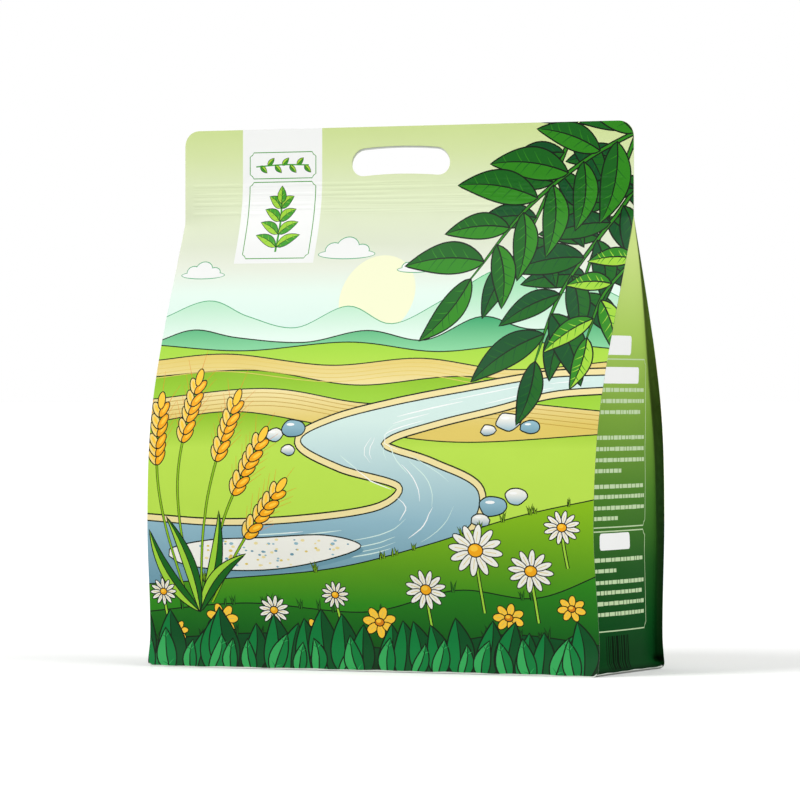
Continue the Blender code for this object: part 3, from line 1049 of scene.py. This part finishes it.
def reliefTree():
    tree = bpy.data.node_groups.new("filmRelief", "GeometryNodeTree")
    sockets = [("Geometry", "INPUT", "Geometry"), ("Geometry", "OUTPUT", "Geometry")]
    sockets += [(name, "INPUT", "Float") for name in (*relief, *ownRelief["inputs"])]
    sockets += [("Film", "INPUT", "Material")]
    for name, way, kind in sockets:
        tree.interface.new_socket(name, in_out=way, socket_type="NodeSocket" + kind)
    given = addNode(tree, "NodeGroupInput").outputs
    place = addNode(tree, "GeometryNodeInputPosition").outputs[0]
    split = addNode(tree, "ShaderNodeSeparateXYZ", {0: place}).outputs
    slack, outward = [
        addNode(tree, "GeometryNodeInputNamedAttribute", {"Name": name}, data_type=kind).outputs[0]
        for name, kind in (("slack", "FLOAT"), ("outward", "FLOAT_VECTOR"))
    ]

    def do(operation, *values):
        return calc(tree, operation, *values)

    turn = do("DIVIDE", do("SUBTRACT", given["Rib top"], split[2]), given["Rib pitch"])
    wave = do("MULTIPLY_ADD", do("COSINE", do("MULTIPLY", turn, math.tau)), -0.5, 0.5)
    inBand = do("MULTIPLY", do("GREATER_THAN", turn, 0.0), do("LESS_THAN", turn, given["Rib count"]))
    inReach = do("LESS_THAN", do("ABSOLUTE", split[0]), given["Rib reach"])
    # each rib is pressed unevenly along its length, and a finer line runs between some of them
    patches = []
    for shift, across in ((0.0, 16.0), (3.1, 24.0)):
        stretch = {0: place, 1: (across, 0.0, 340.0)}
        stretched = addNode(tree, "ShaderNodeVectorMath", stretch, operation="MULTIPLY").outputs[0]
        patch = noise(tree, stretched, 1.0, 0.0, do("ADD", given["Seed"], shift))
        patches.append(addNode(tree, "ShaderNodeMapRange", {0: patch, 1: 0.4, 2: 0.6}).outputs[0])
    finer = do("COSINE", do("MULTIPLY", turn, 2 * math.tau))
    finer = do("MULTIPLY", do("MULTIPLY_ADD", finer, -0.2, 0.2), patches[1])
    pressed = do("MULTIPLY_ADD", wave, patches[0], finer)
    rib = do("MULTIPLY", pressed, do("MULTIPLY", do("MULTIPLY", inBand, inReach), given["Rib height"]))

    ripple = noise(tree, place, do("DIVIDE", 1.0, given["Ripple size"]), 1.0, given["Seed"])
    ripple = do("MULTIPLY", do("SUBTRACT", ripple, 0.5), given["Ripple height"])
    crease = noise(tree, place, do("DIVIDE", 1.0, given["Crease size"]), 0.0, do("ADD", given["Seed"], 4.7))
    ridge = do("SUBTRACT", 1.0, do("ABSOLUTE", do("MULTIPLY_ADD", crease, 8.0, -4.0)))
    ridge = do("POWER", do("MAXIMUM", ridge, 0.0), 2.0)
    crease = do("MULTIPLY", ridge, given["Crease height"])
    loose = do("MULTIPLY", do("SUBTRACT", ripple, crease), slack)
    push = scaled(tree, outward, do("ADD", loose, rib))
    form = given["Geometry"]
    for kind, values in (
        ("GeometryNodeSetPosition", {"Offset": push}),
        ("GeometryNodeRealizeInstances", {}),
        ("GeometryNodeSetMaterial", {"Material": given["Film"]}),
    ):
        form = addNode(tree, kind, {"Geometry": form, **values}).outputs[0]
    addNode(tree, "NodeGroupOutput", {"Geometry": form})
    return tree


def pressRelief(piece, tree, settings):
    modifier = piece.modifiers.new("relief", "NODES")
    modifier.node_group = tree
    for item in tree.interface.items_tree:
        if item.in_out == "INPUT" and item.name in settings:
            modifier[item.identifier] = settings[item.name]
    bpy.context.view_layer.update()
    graph = bpy.context.evaluated_depsgraph_get()
    evaluated = piece.evaluated_get(graph)
    made = bpy.data.meshes.new_from_object(evaluated, preserve_all_data_layers=True, depsgraph=graph)
    piece.modifiers.remove(modifier)
    piece.data = made


# Materials

filmFinish = {
    "roughness": (0.4, 0.52),
    "mottle": 0.03,
    "bump": 0.12,
    "bumpDepth": 0.0004,
    "cloudScale": 38.0,
    "grainScale": 900.0,
    "softScale": 90.0,
    "panelShine": 0.1,
    "sideShine": 0.005,
}


def printedFilm(name, shine):
    f = filmFinish
    material = bpy.data.materials.new(name)
    material.use_nodes = True
    tree = material.node_tree
    place = addNode(tree, "ShaderNodeTexCoord").outputs["Object"]
    ink = addNode(tree, "ShaderNodeVertexColor", layer_name="ink").outputs["Color"]
    cloudy = noise(tree, place, f["cloudScale"], 3.0)
    grain, soft = noise(tree, place, f["grainScale"], 2.0), noise(tree, place, f["softScale"], 2.0)
    height = calc(tree, "MULTIPLY_ADD", grain, 0.12, soft)
    bump = {"Strength": f["bump"], "Distance": f["bumpDepth"], "Height": height}
    setInputs(tree, tree.nodes["Principled BSDF"], {
        "Specular IOR Level": shine,
        "Base Color": scaled(tree, ink, mapped(tree, cloudy, 1 - f["mottle"], 1.0)),
        "Roughness": mapped(tree, cloudy, *f["roughness"]),
        "Normal": addNode(tree, "ShaderNodeBump", bump).outputs[0],
    })
    return material


# Build the five films

def addObject(name, data):
    thing = bpy.data.objects.new(name, data)
    bpy.context.scene.collection.objects.link(thing)
    return thing


def addFilm(name, tree, film, sealedAbove, slackReach, outward, turned=False, **parts):
    mesh, flat = filmShell(name, **parts)
    slack = slackOf(flat, parts["cut"][0], slackReach, sealedAbove)
    mesh.attributes.new("slack", "FLOAT", "POINT").data.foreach_set("value", slack.astype(np.float32))
    pushes = np.tile(np.array(outward, np.float32), (len(slack), 1))
    if turned:
        mesh.transform(Matrix.Rotation(math.pi, 4, "Z"))
        pushes[:, :2] *= -1
    mesh.attributes.new("outward", "FLOAT_VECTOR", "POINT").data.foreach_set("vector", pushes.ravel())
    piece = addObject(name, mesh)
    own = dict(zip(ownRelief["inputs"], ownRelief[name]))
    pressRelief(piece, tree, {**relief, **own, "Film": film})
    piece.data.shade_smooth()
    piece.data.set_sharp_from_angle(angle=math.radians(shell["sharpAngle"]))
    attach(piece, "root")
    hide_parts("bag")
    print(name, len(piece.data.polygons), "faces")


def makeBag():
    tree = reliefTree()
    pitch = relief["Rib pitch"]
    zipRows = np.arange(zipTop - relief["Rib count"] * pitch, zipTop + 0.0005, pitch / shell["rowsPerRib"])
    panel = {
        "film": printedFilm("panelFilm", filmFinish["panelShine"]),
        "sheet": frontPrint(),
        "place": placePanel,
        "rows": zipRows / mm,
        "sealedAbove": zipTop / mm,
        "slackReach": (6.0, 34.0),
        "outward": (0, -1, 0),
    }
    gusset = {
        "film": printedFilm("sideFilm", filmFinish["sideShine"]),
        "cut": [sideOutline()],
        "sheet": gussetPrint(),
        "place": placeSide,
        "guides": sideGuides(),
        "sealedAbove": gussetTop / mm,
        "slackReach": (9.0, 30.0),
        "outward": (1, 0, 0),
    }
    outline = panelOutline()
    addFilm("frontPanel", tree, cut=[outline, slotLoop(1)], **panel)
    addFilm("backPanel", tree, cut=[outline, slotLoop(-1, slot["slip"])], turned=True, **panel)
    addFilm("rightGusset", tree, **gusset)
    addFilm("leftGusset", tree, turned=True, **gusset)
    wide = halfWidth(0.0) / mm - shell["baseInset"][0]
    deep = finDepth(0.0) / mm - shell["baseInset"][1]
    corners = np.array([(-wide, -deep), (wide, -deep), (wide, deep), (-wide, deep)])
    sheet = []
    fill(sheet, corners * 1.1, "baseGreen")
    base = {**panel, "cut": [densify(corners, 4.0)], "sheet": sheet, "place": placeBase, "rows": ()}
    addFilm("basePanel", tree, **{**base, "sealedAbove": deep})


# Studio: a pale floor that runs to the horizon, soft light and the camera

studio = {
    "lens": 220.0,
    "distance": 2.9795,
    "eyeHeight": 0.163,
    "turn": 0.4299,
    "sideStep": -0.0031,
    "floorSize": 400.0,
    "floorShade": (0.62, 0.95),
    "floorGlow": 0.14,
    "skyPower": 0.58,
    "white": (1.0, 1.0, 1.0, 1.0),
    "lamps": {
        "key": {"power": 1.55, "angle": 24.0, "towards": (0.55, 0.75, -0.75)},
        "fill": {"power": 1.3, "angle": 60.0, "towards": (-1.0, 0.15, -0.45)},
    },
}


def makeCamera():
    s, c = math.sin(studio["turn"]), math.cos(studio["turn"])
    data = bpy.data.cameras.new("camera")
    data.lens = studio["lens"]
    data.clip_end = 600.0
    camera = addObject("camera", data)
    camera.location = (studio["sideStep"] * c + studio["distance"] * s,
                       studio["sideStep"] * s - studio["distance"] * c, studio["eyeHeight"])
    camera.rotation_euler = (math.pi / 2, 0.0, studio["turn"])
    bpy.context.scene.camera = camera


def seenOrLit(tree, lit, seen):
    # seen for the rays that see the backdrop itself, from the camera and off or through something clear
    rays = addNode(tree, "ShaderNodeLightPath").outputs
    direct = calc(tree, "MAXIMUM", rays["Is Camera Ray"], rays["Is Transmission Ray"])
    direct = calc(tree, "MAXIMUM", direct, rays["Is Glossy Ray"])
    return mapped(tree, direct, lit, seen)


def makeFloor():
    mesh = bpy.data.meshes.new("floor")
    half = studio["floorSize"] / 2
    corners = [(-half, -half, 0), (half, -half, 0), (half, half, 0), (-half, half, 0)]
    mesh.from_pydata(corners, [], [(0, 1, 2, 3)])
    floor = addObject("floor", mesh)
    material = bpy.data.materials.new("paleFloor")
    material.use_nodes = True
    tree = material.node_tree
    shade = seenOrLit(tree, *studio["floorShade"])
    setInputs(tree, tree.nodes["Principled BSDF"], {
        "Base Color": addNode(tree, "ShaderNodeCombineColor", {0: shade, 1: shade, 2: shade}).outputs[0],
        "Roughness": 0.9,
        "Specular IOR Level": 0.0,
        "Emission Color": studio["white"],
        "Emission Strength": seenOrLit(tree, 0.0, studio["floorGlow"]),
    })
    mesh.materials.append(material)


def makeLights():
    world = bpy.data.worlds.new("studioSky")
    bpy.context.scene.world = world
    world.use_nodes = True
    tree = world.node_tree
    sky = {"Color": studio["white"], "Strength": seenOrLit(tree, studio["skyPower"], 1.0)}
    setInputs(tree, tree.nodes["Background"], sky)
    for name, lamp in studio["lamps"].items():
        light = bpy.data.lights.new(name, "SUN")
        light.energy = lamp["power"]
        light.angle = math.radians(lamp["angle"])
        sun = addObject(name, light)
        sun.rotation_euler = Vector(lamp["towards"]).to_track_quat("-Z", "Y").to_euler()


makeCamera()
makeFloor()
makeLights()
print("studio ready")
makeBag()
bpy.context.scene.view_settings.view_transform = "Standard"
